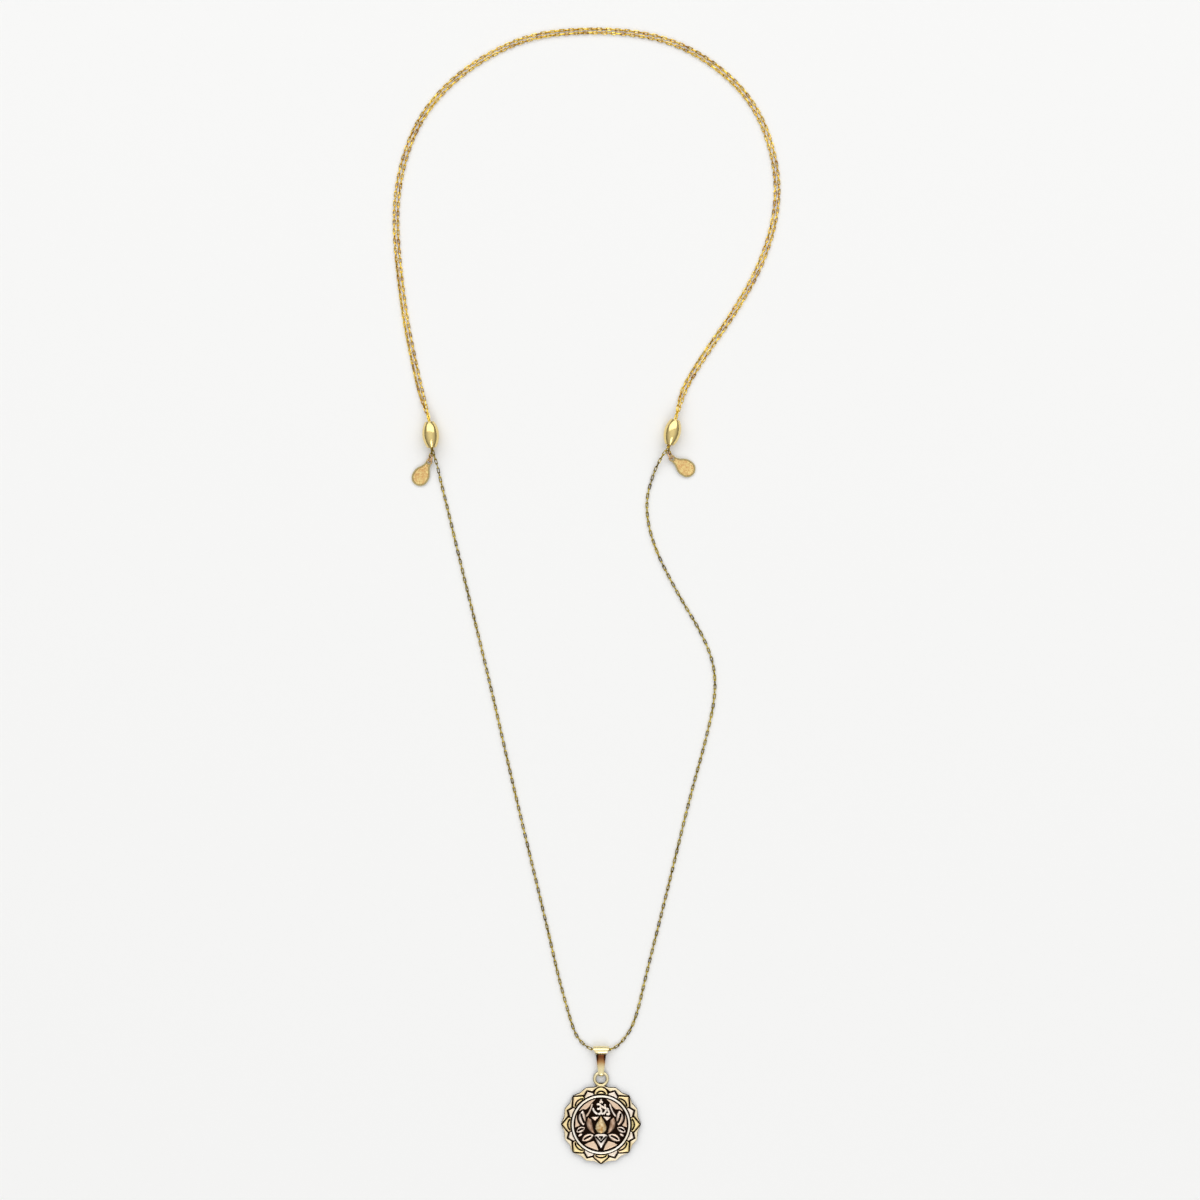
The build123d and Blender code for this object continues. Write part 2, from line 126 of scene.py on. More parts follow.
horizon_light = 0.06
overhead_light = 0.88
room = bpy.data.worlds.new("room")
room.use_nodes = True
tree = room.node_tree
direction = add(tree, "TexCoord", {}, {}).outputs["Generated"]
height = add(tree, "SeparateXYZ", {}, {0: direction}).outputs["Z"]
walls = add(
    tree,
    "MapRange",
    {},
    {"Value": height, "To Min": horizon_light, "To Max": overhead_light},
)
tree.links.new(walls.outputs["Result"], tree.nodes["Background"].inputs["Color"])
bpy.context.scene.world = room
bpy.context.scene.view_settings.view_transform = "Standard"

# Cable chain of soldered oval links in drawn brass wire. Each half runs from the bail up one
# side, through a bead, over the back beside the other half and through the other bead, where
# a round eye ends it. Their routes are the ones that the part's tubes follow, in millimetres.
chain_d = 1.0
strand_gap = 0.22
strand_offset = (chain_d + strand_gap) / 2
floor_z = chain_d / 2
bead_l = 8.2
bead_z = 2.7
bead_lead = 0.5
left_bead_x, left_bead_y, left_bead_lean = -49.7, 51.4, 5.2
right_bead_x, right_bead_y, right_bead_lean = 27.4, 52.2, -13.4
chain_low = Vector((4.64, -145.3, 1.15))
chain_entry = 2.72
link_wire_d = 0.32
link_l = 2.2
link_gap = 0.06
link_sides = 6
link_steps = 12
eye_hole_d = 1.0
eye_wire_d = 0.4
eye_r = (eye_hole_d + eye_wire_d) / 2
stub_l = 1.5
# Headings are degrees anticlockwise from +X, as seen from above
left_stub_heading, left_ring_heading = 260, 254
right_stub_heading, right_ring_heading = 268, 299
jump_ring_d = 2.52
jump_wire_d = 0.42
jump_ring_tilt = 60
jump_r = (jump_ring_d - jump_wire_d) / 2
jump_z = jump_r * sin(radians(jump_ring_tilt)) + jump_wire_d / 2
# The eye is bent from the links' wire to the outer size of the part's own. The last link's
# end lies midway between its wire and the jump ring, this far from the eye's centre.
eye_ring_r = eye_r + (eye_wire_d - link_wire_d) / 2
last_end = (eye_ring_r + (jump_wire_d - link_wire_d) / 2) / 2

# x, y, the share of the climb from the floor to a bead, and over the back the angle of the
# pair: 0 lies side by side, and 90 has one strand above the other
back_route = [
    (-51.6, 60.7, 0.5, -45),
    (-53.1, 65.4, 0, 0),
    (-55.0, 73.8, 0, 0),
    (-58.4, 90.5, 0, 0),
    (-61.4, 117.7, 0, 0),
    (-60.0, 134.6, 0, 0),
    (-54.6, 150.6, 0, 0),
    (-45.6, 162.5, 0, 0),
    (-33.1, 172.2, 0, 0),
    (-18.7, 178.8, 0, 0),
    (-4.3, 180.7, 0, 0),
    (11.0, 180.6, 0, 0),
    (25.1, 178.2, 0, 0),
    (37.9, 172.2, 0, 0),
    (49.8, 162.2, 0, 0),
    (57.1, 150.6, 0, 0),
    (61.3, 134.6, 0, 0),
    (60.5, 120.2, 0, 0),
    (55.5, 104.9, 0, 0),
    (47.2, 90.5, 0, 0),
    (38.4, 78.0, 0, 0),
    (33.8, 70.8, 0, 0),
    (31.0, 65.5, 0, 0),
    (29.8, 61.2, 0.5, 45),
]
left_route = [
    (-47.8, 42.2, 0.45),
    (-46.7, 37.0, 0),
    (-44.5, 28.1, 0),
    (-40.3, 10.5, 0),
    (-32.0, -23.1, 0),
    (-22.6, -64.4, 0),
    (-13.0, -104.1, 0),
    (-8.8, -122.6, 0),
    (-6.2, -131.9, 0),
    (-4.0, -139.3, 0),
    (-1.8, -142.8, 0),
]
right_route = [
    (23.5, 43.6, 0.5),
    (21.1, 38.3, 0),
    (18.8, 29.4, 0),
    (20.8, 17.5, 0),
    (27.7, 3.1, 0),
    (39.4, -16.2, 0),
    (41.8, -29.5, 0),
    (38.2, -46.2, 0),
    (33.0, -64.7, 0),
    (25.1, -97.4, 0),
    (19.2, -120.7, 0),
    (15.5, -136.7, 0),
    (11.0, -143.3, 0),
]


def level_way(heading):
    """Level unit vector at a heading in degrees from +X."""
    return Vector((cos(radians(heading)), sin(radians(heading)), 0))


def through_bead(x, y, lean):
    """Just below a bead's lower mouth, its middle, and just above its upper mouth."""
    centre = Vector((x, y, bead_z))
    reach = level_way(lean + 90) * (bead_l / 2 + bead_lead)
    return [centre - reach, centre, centre + reach]


def strand(middle, twists, side):
    """One of the two strands beside or above a shared middle line. Side 1 lies outside."""
    start, end = middle[0] * 2 - middle[1], middle[-1] * 2 - middle[-2]
    points = []
    for before, here, after, twist in zip([start, *middle], middle, [*middle[1:], end], twists):
        way_in = (here - before).to_2d().normalized()
        mean = (way_in + (after - here).to_2d().normalized()).normalized()
        across = Vector((-mean.y, mean.x, 0)) / mean.dot(way_in) * cos(radians(twist))
        points.append(here + (across + Vector((0, 0, sin(radians(twist))))) * side * strand_offset)
    return points


def down_to_bail(start, route, entry_x):
    """Points from a bead's lower mouth down one side to the middle of the bail."""
    points = [Vector((x, y, floor_z + rise * (start.z - floor_z))) for x, y, rise in route]
    return [*points, Vector((entry_x, *chain_low.yz)), chain_low]


def stub_way(start, heading):
    """Way from a bead's lower mouth down to an eye at the jump ring's height."""
    drop = (start.z - jump_z) / (stub_l + eye_r)
    return level_way(heading) * sqrt(1 - drop**2) - Vector((0, 0, drop))


def last_eye_axis(way, heading, lean):
    """Axis of the eye at a chain's end. The jump ring leans to its left, or right at -1."""
    up = level_way(heading + 90 * lean) * cos(radians(jump_ring_tilt))
    up += Vector((0, 0, sin(radians(jump_ring_tilt))))
    return (up - way * up.dot(way)).normalized()


def smooth_line(points):
    """Points in metres, close together, along the smooth line that a chain's route gives."""
    curve = bpy.data.curves.new("route", "CURVE")
    curve.dimensions = "3D"
    curve.resolution_u = 24
    spline = curve.splines.new("NURBS")
    spline.points.add(len(points) - 1)
    for control, point in zip(spline.points, points):
        control.co = (*(point * mm), 1)
    spline.order_u = 3
    spline.use_endpoint_u = True
    mesh = bpy.data.meshes.new_from_object(bpy.data.objects.new("route", curve))
    return np.array([vertex.co for vertex in mesh.vertices])


def wire_ring(bm, radius, wire_d, centre, axis, steps):
    """Round ring of wire about an axis, all in metres."""
    place = Matrix.Translation(centre) @ axis.to_track_quat("Z", "Y").to_matrix().to_4x4()
    section = bmesh.ops.create_circle(
        bm,
        segments=12,
        radius=wire_d / 2,
        matrix=place @ Matrix.Translation((radius, 0, 0)) @ Matrix.Rotation(pi / 2, 4, "X"),
    )["verts"]
    edges = list({edge for vertex in section for edge in vertex.link_edges})
    bmesh.ops.spin(
        bm,
        geom=section + edges,
        cent=centre,
        axis=axis,
        angle=tau,
        steps=steps,
        use_merge=True,
    )


# One link to copy, flat about the origin with its length along X: a ring of six-sided wire
# whose halves are drawn apart, so that its two sides run straight. The spin starts half a
# step round, so that none of its sections lies where the halves part.
bm = bmesh.new()
bmesh.ops.create_circle(
    bm,
    segments=link_sides,
    radius=link_wire_d / 2 * mm,
    matrix=Matrix.Rotation(pi / link_steps, 4, "Z")
    @ Matrix.Translation(((chain_d - link_wire_d) / 2 * mm, 0, 0))
    @ Matrix.Rotation(pi / 2, 4, "X"),
)
bmesh.ops.spin(
    bm,
    geom=bm.verts[:] + bm.edges[:],
    cent=(0, 0, 0),
    axis=(0, 0, 1),
    angle=tau,
    steps=link_steps,
    use_merge=True,
)
for vertex in bm.verts:
    vertex.co.x += copysign((link_l - chain_d) / 2 * mm, vertex.co.x)
bmesh.ops.recalc_face_normals(bm, faces=bm.faces)
one_link = bpy.data.meshes.new("one_link")
bm.to_mesh(one_link)
bm.free()


def smooth(value, start, end):
    """0 before start, 1 after end, and an even turn between them."""
    t = min(max((value - start) / (end - start), 0), 1)
    return t * t * (3 - 2 * t)


# How the chain lies: each link a little askew of the one before, and the whole chain rolling
# slowly to and fro. Both are an angle and a rate along the links. By these shares of the
# chain's length the slow roll has set in, the turn that the eye asks for begins, and both
# sways begin to die away.
askew, askew_rate = radians(8), 0.83
slow_roll, slow_rate = radians(12), 0.173
roll_set_in, turn_begins, sway_fades = 0.02, 0.85, 0.97


def link_chain(name, points, first_roll, eye, eye_axis, material):
    """Interlocking links along a route, from the bail to the eye that the last one holds.

    Each link is a quarter turn on from the one before. A slow sway rolls the chain as it
    lies, and near its end it turns to the roll at which the last link meets the eye. In a
    bend each link shifts and leans until the ends of its two neighbours lie in the middle of
    its hole. Each link's wear, from -1 to 1, is kept on its faces.
    """
    line = smooth_line(points)
    travel = np.append(0, np.cumsum(np.linalg.norm(np.diff(line, axis=0), axis=1)))
    end_way = (points[-1] - points[-2]).normalized()

    def spot(s):
        over = max(s - travel[-1], 0)
        return Vector([np.interp(s, travel, axis) for axis in line.T]) + end_way * over

    pitch = (link_l - 2 * link_wire_d - link_gap) * mm
    first = pitch / 2
    end_reach = (link_l - link_wire_d) / 2 * mm
    last_reach = last_end * mm + end_reach
    last = travel[-1] + eye_r * mm - last_reach
    count = round((last - first) / pitch)
    spots = []
    for s in np.linspace(first, last, count + 1):
        spots.append((spot(s), (spot(s + pitch / 2) - spot(s - pitch / 2)).normalized()))
    spots[-1] = (eye * mm - end_way * last_reach, end_way)
    spots.insert(0, (spots[0][0] - spots[0][1] * pitch, spots[0][1]))
    spots.append((spots[-1][0] + end_way * pitch, end_way))
    end_side = Vector((-end_way.y, end_way.x, 0)).normalized()
    end_roll = atan2(eye_axis.dot(end_way.cross(end_side)), eye_axis.dot(end_side))
    spare = (end_roll - first_roll - count * pi / 2 + pi / 2) % pi - pi / 2
    bm = bmesh.new()
    for k, (before, (middle, way), after) in enumerate(zip(spots, spots[1:], spots[2:])):
        share = k / count
        sway = slow_roll * sin(k * slow_rate) * smooth(share, 0, roll_set_in)
        sway = (askew * sin(k * askew_rate) + sway) * (1 - smooth(share, sway_fades, 1))
        roll = first_roll + k * pi / 2 + sway + spare * smooth(share, turn_begins, 1)
        side = Vector((-way.y, way.x, 0)).normalized()
        across = side * cos(roll) + way.cross(side) * sin(roll)
        tail = before[0] + before[1] * end_reach - middle
        head = after[0] - after[1] * end_reach - middle
        lean = (head - tail).dot(across) / (head - tail).dot(way)
        shift = across * (tail.dot(across) - lean * tail.dot(way))
        way, across = (way + across * lean).normalized(), (across - way * lean).normalized()
        place = Matrix((way, across, way.cross(across))).transposed().to_4x4()
        place.translation = middle + shift
        link = one_link.copy()
        link.transform(place)
        bm.from_mesh(link)
        bpy.data.meshes.remove(link)
    wear = np.random.default_rng(5).uniform(-1, 1, count + 1)
    wear_layer = bm.faces.layers.float.new("wear")
    for i, face in enumerate(bm.faces):
        face[wear_layer] = wear[i // len(one_link.polygons)]
    wire_ring(bm, eye_ring_r * mm, link_wire_d * mm, eye * mm, eye_axis, steps=24)
    bmesh.ops.recalc_face_normals(bm, faces=bm.faces)
    return finish_piece(name, bm, material)


# Brass wire, drawn bright. The part that runs doubled over the neck keeps its gold colour,
# and the part that hangs on the chest has dulled to olive brown. One turns into the other
# between these places along Y, just below the beads and in them. The wear of the links
# differs, so that pale ones and dark ones follow each other.
dull_up_to_y, gold_from_y = 44, 52
chain_brass, shader = new_material("drawn_brass_chain_wire")
tree = chain_brass.node_tree
surface = add(tree, "TexCoord", {}, {}).outputs["Object"]
spot = add(tree, "SeparateXYZ", {}, {0: surface}).outputs
patches = add(tree, "TexNoise", {}, {"Vector": surface, "Scale": 1 / (0.8 * mm), "Detail": 3})
stretches = add(tree, "TexNoise", {}, {"Vector": surface, "Scale": 1 / (30 * mm), "Detail": 1})
wear = add(tree, "Attribute", {"attribute_name": "wear"}, {})
brightness = add(
    tree,
    "Math",
    {"operation": "MULTIPLY_ADD"},
    {0: wear.outputs["Fac"], 1: 0.12, 2: patches.outputs["Fac"]},
)
share = add(
    tree,
    "MapRange",
    {"interpolation_type": "SMOOTHSTEP"},
    {"Value": brightness.outputs["Value"], "From Min": 0.3, "From Max": 0.62},
)
bright = add(
    tree,
    "Mix",
    {"data_type": "RGBA"},
    {"Factor": share.outputs["Result"], "A": linear("#AE7C18"), "B": linear("#FFDE60")},
)
olive = add(
    tree,
    "Mix",
    {"data_type": "RGBA"},
    {"Factor": stretches.outputs["Fac"], "A": linear("#CCAC3C"), "B": linear("#BCAE44")},
)
dull = add(
    tree,
    "Mix",
    {"data_type": "RGBA"},
    {
        "Factor": share.outputs["Result"],
        "A": linear("#625014"),
        "B": olive.outputs["Result"],
    },
)
gold_share = add(
    tree,
    "MapRange",
    {"interpolation_type": "SMOOTHSTEP"},
    {"Value": spot["Y"], "From Min": dull_up_to_y * mm, "From Max": gold_from_y * mm},
)
tint = add(
    tree,
    "Mix",
    {"data_type": "RGBA"},
    {
        "Factor": gold_share.outputs["Result"],
        "A": dull.outputs["Result"],
        "B": bright.outputs["Result"],
    },
)
tree.links.new(tint.outputs["Result"], shader.inputs["Base Color"])
patchy = patches.outputs["Fac"]
rough = add(tree, "MapRange", {}, {"Value": patchy, "To Min": 0.12, "To Max": 0.32})
tree.links.new(rough.outputs["Result"], shader.inputs["Roughness"])
shader.inputs["Metallic"].default_value = 1

bead_points_left = through_bead(left_bead_x, left_bead_y, left_bead_lean)
bead_points_right = through_bead(right_bead_x, right_bead_y, right_bead_lean)[::-1]
climb = bead_z - floor_z
middle = [Vector((x, y, floor_z + rise * climb)) for x, y, rise, twist in back_route]
middle = [*bead_points_left, *middle, *bead_points_right]
twists = [*[-90] * 3, *[stop[3] for stop in back_route], *[90] * 3]
outside, inside = strand(middle, twists, 1), strand(middle, twists, -1)
left_way = stub_way(outside[0], left_stub_heading)
right_way = stub_way(inside[-1], right_stub_heading)
left_eye = outside[0] + left_way * (stub_l + eye_r)
right_eye = inside[-1] + right_way * (stub_l + eye_r)

for name, points, first_roll, eye, axis in (
    (
        "chain_right",
        [
            *reversed(down_to_bail(outside[-1], right_route, chain_low.x + chain_entry)),
            *reversed(outside),
            outside[0] + left_way * stub_l,
        ],
        pi / 2,
        left_eye,
        last_eye_axis(left_way, left_ring_heading, 1),
    ),
    (
        "chain_left",
        [
            *reversed(down_to_bail(inside[0], left_route, chain_low.x - chain_entry)),
            *inside,
            inside[-1] + right_way * stub_l,
        ],
        0,
        right_eye,
        last_eye_axis(right_way, right_ring_heading, -1),
    ),
):
    piece = link_chain(name + "_links", points, first_roll, eye, axis, chain_brass)
    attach(piece, "root")
    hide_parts(name)

# Beads: hollow olives of gilt brass, pressed in thin sheet and polished bright, with turned-in
# mouths. Both strands run through each, so that the beads slide to set the necklace's length.
bead_d = 5.4
bore_r = strand_offset + chain_d / 2 + 0.2
lip_r = bore_r + 0.18
lip_round = 0.08
# The round bead stays this far inside the part's own, whose flat facets cut its corners
facet_slack = 0.005


def bow(start, through, end, count):
    """Evenly spaced places along the circular arc from start through a place to end."""
    a, b, c = complex(*start), complex(*through), complex(*end)
    w = (c - a) / (b - a)
    centre = a + (b - a) * (w - abs(w) ** 2) / 2j / w.imag
    turn = phase((b - centre) / (a - centre)) + phase((c - centre) / (b - centre))
    spots = [centre + (a - centre) * rect(1, turn * i / count) for i in range(count + 1)]
    return [Vector((spot.real, spot.imag)) for spot in spots]


# Gilt over brass, buffed to a mirror. Handling has left soft smears, about 1.5 mm across,
# which break up its reflections a little.
bead_gilt, shader = new_material("polished_gilt_brass_bead")
tree = bead_gilt.node_tree
surface = add(tree, "TexCoord", {}, {}).outputs["Object"]
smears = add(tree, "TexNoise", {}, {"Vector": surface, "Scale": 1 / (1.5 * mm), "Detail": 4})
rough = add(
    tree,
    "MapRange",
    {},
    {
        "Value": smears.outputs["Fac"],
        "From Min": 0.3,
        "From Max": 0.7,
        "To Min": 0.1,
        "To Max": 0.26,
    },
)
tree.links.new(rough.outputs["Result"], shader.inputs["Roughness"])
tint = add(
    tree,
    "Mix",
    {"data_type": "RGBA"},
    {"Factor": smears.outputs["Fac"], "A": linear("#F3DC8E"), "B": linear("#EBD094")},
)
tree.links.new(tint.outputs["Result"], shader.inputs["Base Color"])
shader.inputs["Metallic"].default_value = 1

for name, x, y, lean in (
    ("bead_left", left_bead_x, left_bead_y, left_bead_lean),
    ("bead_right", right_bead_x, right_bead_y, right_bead_lean),
):
    bm = bmesh.new()
    mouth = bead_l / 2 - lip_round
    lip = bow((lip_r, mouth), ((lip_r + bore_r) / 2, bead_l / 2), (bore_r, mouth), 6)
    outline = bow((lip_r, -mouth), (bead_d / 2 - facet_slack, 0), (lip_r, mouth), 28)[:-1] + lip
    outline += [Vector((r, -along)) for r, along in lip[:0:-1]]
    corners = [bm.verts.new((r, along, 0)) for r, along in outline]
    edges = [bm.edges.new(pair) for pair in zip(corners, [*corners[1:], corners[0]])]
    bmesh.ops.spin(
        bm,
        geom=corners + edges,
        cent=(0, 0, 0),
        axis=(0, 1, 0),
        angle=tau,
        steps=48,
        use_merge=True,
    )
    bmesh.ops.recalc_face_normals(bm, faces=bm.faces)
    place = Matrix.Translation((x, y, bead_z)) @ Matrix.Rotation(radians(lean), 4, "Z")
    bmesh.ops.transform(bm, verts=bm.verts, matrix=Matrix.Scale(mm, 4) @ place)
    piece = finish_piece(name + "_olive", bm, bead_gilt)
    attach(piece, "root")
    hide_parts(name)

# Jump rings: round rings of drawn brass wire, each closed through the chain's last eye and
# the hole of a tag. They haven't been worn, so they keep a rosy gold with faint dull patches.
ring_wire, shader = new_material("bright_brass_ring_wire")
tree = ring_wire.node_tree
surface = add(tree, "TexCoord", {}, {}).outputs["Object"]
patches = add(tree, "TexNoise", {}, {"Vector": surface, "Scale": 1 / (0.6 * mm), "Detail": 3})
tint = add(
    tree,
    "Mix",
    {"data_type": "RGBA"},
    {"Factor": patches.outputs["Fac"], "A": linear("#D9A070"), "B": linear("#FBD9A8")},
)
tree.links.new(tint.outputs["Result"], shader.inputs["Base Color"])
rough = add(tree, "MapRange", {}, {"Value": patches.outputs["Fac"], "To Min": 0.12, "To Max": 0.3})
tree.links.new(rough.outputs["Result"], shader.inputs["Roughness"])
shader.inputs["Metallic"].default_value = 1
for name in ("jump_ring_left", "jump_ring_right"):
    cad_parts[name].data.materials[0] = ring_wire

# Tags: flat pear-shaped paddles stamped from gilt brass sheet, with a raised rim round a
# field that is left bare. Each hangs on its jump ring, with its far end on the table.
tag_l = 9.6
tag_neck_w = 2.0
tag_t = 0.5
tag_hole_d = 1.3
tag_rim_w = 0.34
tag_step = 0.12
tag_edge_round = 0.06
left_tag_heading, right_tag_heading = 239, 326

# Gilt brass blasted with fine grit to an even satin. The grit's pits are drawn 0.35 mm apart,
# coarser than the real ones, so that they show, and each pit has a painted glint, a lighter or
# darker tone at random.
tag_satin, shader = new_material("blasted_gilt_brass_tag_field")
tree = tag_satin.node_tree
surface = add(tree, "TexCoord", {}, {}).outputs["Object"]
pits = add(tree, "TexVoronoi", {}, {"Vector": surface, "Scale": 1 / (0.35 * mm)})
bump = add(
    tree,
    "Bump",
    {},
    {"Height": pits.outputs["Distance"], "Distance": 0.1 * mm, "Strength": 0.6},
)
tree.links.new(bump.outputs["Normal"], shader.inputs["Normal"])
# Painted glints: each pit gets a lighter or darker tone at random
painted_glints = add(tree, "SeparateColor", {}, {"Color": pits.outputs["Color"]})
clouds = add(tree, "TexNoise", {}, {"Vector": surface, "Scale": 1 / (1.8 * mm), "Detail": 3})
share = add(
    tree,
    "Mix",
    {"data_type": "FLOAT"},
    {"Factor": 0.6, "A": clouds.outputs["Fac"], "B": painted_glints.outputs["Red"]},
)
tint = add(
    tree,
    "Mix",
    {"data_type": "RGBA"},
    {"Factor": share.outputs["Result"], "A": linear("#CF8E54"), "B": linear("#FAEAA2")},
)
tree.links.new(tint.outputs["Result"], shader.inputs["Base Color"])
shader.inputs["Metallic"].default_value = 1
shader.inputs["Roughness"].default_value = 0.4

# The rim and edges of the tags, rubbed smooth, so that they look darker than the field
# wherever they face the dim walls
tag_bright, shader = new_material("rubbed_gilt_brass_tag_rim")
tree = tag_bright.node_tree
surface = add(tree, "TexCoord", {}, {}).outputs["Object"]
wear = add(tree, "TexNoise", {}, {"Vector": surface, "Scale": 1 / (0.8 * mm), "Detail": 3})
rough = add(tree, "MapRange", {}, {"Value": wear.outputs["Fac"], "To Min": 0.15, "To Max": 0.4})
tree.links.new(rough.outputs["Result"], shader.inputs["Roughness"])
shader.inputs["Base Color"].default_value = linear("#BFAE7A")
shader.inputs["Metallic"].default_value = 1

# Half a paddle's outline in mm from its hole, from the far end round to the neck. The tag
# leans from its ring down to the table.
far = tag_l - tag_neck_w / 2
half = bow((far, 0), (7.6, 2.09), (5.6, 2.68), 14)
half += bow((5.6, 2.68), (4.1, 2.5), (2.9, 1.85), 6)[1:]
half += bow((2.9, 1.85), (1.8, 1.22), (0.5, 0.92), 6)[1:]
half += bow((0.5, 0.92), (-0.55, 0.83), (-tag_neck_w / 2, 0), 8)[1:]
tilt = asin((jump_z - tag_t / 2) / far)
for side, eye, ring_heading, heading in (
    ("left", left_eye, left_ring_heading, left_tag_heading),
    ("right", right_eye, right_ring_heading, right_tag_heading),
):
    bm = bmesh.new()
    corners = [bm.verts.new((px, py, -tag_t / 2)) for px, py in half]
    corners += [bm.verts.new((px, -py, -tag_t / 2)) for px, py in half[-2:0:-1]]
    edges = [bm.edges.new(pair) for pair in zip(corners, [*corners[1:], corners[0]])]
    place = Matrix.Translation((0, 0, -tag_t / 2))
    bmesh.ops.create_circle(bm, segments=24, radius=tag_hole_d / 2, matrix=place)
    bmesh.ops.triangle_fill(bm, use_beauty=True, edges=bm.edges)
    top = bmesh.ops.extrude_face_region(bm, geom=bm.faces[:])["geom"]
    lifted = [item for item in top if isinstance(item, bmesh.types.BMVert)]
    bmesh.ops.translate(bm, verts=lifted, vec=(0, 0, tag_t))
    bmesh.ops.recalc_face_normals(bm, faces=bm.faces)
    field = [item for item in top if isinstance(item, bmesh.types.BMFace)]
    for width, drop in ((tag_edge_round, 0), (tag_rim_w, 0), (tag_step, -tag_step)):
        bmesh.ops.inset_region(bm, faces=field, thickness=width, depth=drop)
    for face in set(bm.faces) - set(field):
        face.material_index = 1
    along = level_way(heading) * cos(tilt) - Vector((0, 0, sin(tilt)))
    across = level_way(heading + 90)
    place = Matrix((along, across, along.cross(across))).transposed().to_4x4()
    place.translation = eye + level_way(ring_heading) * 2 * jump_r
    bmesh.ops.transform(bm, verts=bm.verts, matrix=Matrix.Scale(mm, 4) @ place)
    piece = finish_piece("tag_" + side + "_paddle", bm, tag_satin)
    piece.data.materials.append(tag_bright)
    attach(piece, "root")
    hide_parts("tag_" + side)

# Bail: a tapered strip of polished gilt brass, rolled round the chain at its wide top and
# folded through the medallion's loop, with its end closed against its back.
bail_wall = 0.4
bail_clearance = 0.55
bail_roll_r = chain_d / 2 + bail_clearance + bail_wall
bail_leg_h = 2.1
bail_l = 7.3
bail_top_w = 5.1
bail_crease_w = 3.2
bail_end_w = 1.7
bail_crown = 0.12
bail_edge_round = 0.08

# Gilt brass, buffed to a mirror on the roll. Painted shade darkens it to brown and near black
# in the fold under the roll and along the strip's edges below it, and fades out towards the
# end. Its places are in mm, below the chain and to either side of the bail's middle line.
roll_unshaded_to, shade_full_from, shade_full_to, end_unshaded_from = 1.05, 1.35, 1.6, 6.0
side_shade_from, side_shade_full_at = 0.7, 1.5
bail_gilt, shader = new_material("polished_gilt_brass_bail")
tree = bail_gilt.node_tree
surface = add(tree, "TexCoord", {}, {}).outputs["Object"]
spot = add(tree, "SeparateXYZ", {}, {0: surface}).outputs
drift = add(tree, "TexNoise", {}, {"Vector": surface, "Scale": 1 / (0.9 * mm), "Detail": 3})
# Painted shade along the strip: none on the roll, full in the fold under it, fading out towards
# the end
below = add(
    tree,
    "MapRange",
    {"interpolation_type": "SMOOTHSTEP"},
    {
        "Value": spot["Y"],
        "From Min": (chain_low.y - end_unshaded_from) * mm,
        "From Max": (chain_low.y - shade_full_to) * mm,
    },
)
under_roll = add(
    tree,
    "MapRange",
    {},
    {
        "Value": spot["Y"],
        "From Min": (chain_low.y - shade_full_from) * mm,
        "From Max": (chain_low.y - roll_unshaded_to) * mm,
        "To Min": 1,
        "To Max": 0,
    },
)
off_centre = add(tree, "Math", {"operation": "SUBTRACT"}, {0: spot["X"], 1: chain_low.x * mm})
aside = add(tree, "Math", {"operation": "ABSOLUTE"}, {0: off_centre.outputs["Value"]})
# The painted shade grows towards the strip's edges
edge_painted_shade = add(
    tree,
    "MapRange",
    {},
    {
        "Value": aside.outputs["Value"],
        "From Min": side_shade_from * mm,
        "From Max": side_shade_full_at * mm,
        "To Min": 0.75,
        "To Max": 1.3,
    },
)
painted_shade = add(
    tree,
    "Math",
    {"operation": "MULTIPLY"},
    {0: below.outputs["Result"], 1: under_roll.outputs["Result"]},
)
painted_shade = add(
    tree,
    "Math",
    {"operation": "MULTIPLY", "use_clamp": True},
    {0: painted_shade.outputs["Value"], 1: edge_painted_shade.outputs["Result"]},
)
# Colours of the painted shade, from the clean gilt down to near black in the fold
tint = add(tree, "ValToRGB", {}, {0: painted_shade.outputs["Value"]})
tint.color_ramp.elements[0].color = linear("#F3E3B0")
tint.color_ramp.elements[1].color = linear("#24140A")
for share, shade_tone in ((0.45, "#B98A55"), (0.75, "#6E3E22")):
    tint.color_ramp.elements.new(share).color = linear(shade_tone)
tree.links.new(tint.outputs["Color"], shader.inputs["Base Color"])
rough = add(tree, "MapRange", {}, {"Value": drift.outputs["Fac"], "To Min": 0.1, "To Max": 0.28})
tree.links.new(rough.outputs["Result"], shader.inputs["Roughness"])
shader.inputs["Metallic"].default_value = 1

# The strip's side view, as places along it and heights, from under the roll round over it,
# down through the crease to the front leg, round the fold and back along the table
crease_y = -sqrt(bail_roll_r**2 - (bail_leg_h - bail_roll_r) ** 2)
line = bow((0, 0), (bail_roll_r, bail_roll_r), (crease_y + 0.25, bail_leg_h + 0.4), 30)
crease = [(crease_y + 0.09, 0.18), (crease_y, 0.05), (crease_y - 0.15, 0)]
line += bow(*[(y, bail_leg_h + rise) for y, rise in crease], 3)
line += [Vector((-3.5, bail_leg_h)), Vector((-5.5, bail_leg_h))]
line += bow((-bail_l, bail_leg_h), (-bail_l - bail_leg_h / 2, bail_leg_h / 2), (-bail_l, 0), 12)
line += [Vector((-4.5, 0)), Vector((-2.0, 0)), Vector((0, 0))]


def bail_half_w(y):
    """Half the strip's width at a place along it."""
    widths = [bail_end_w / 2, bail_crease_w / 2, bail_top_w / 2]
    return np.interp(y, [-bail_l - 0.2, crease_y, bail_roll_r / 2], widths)


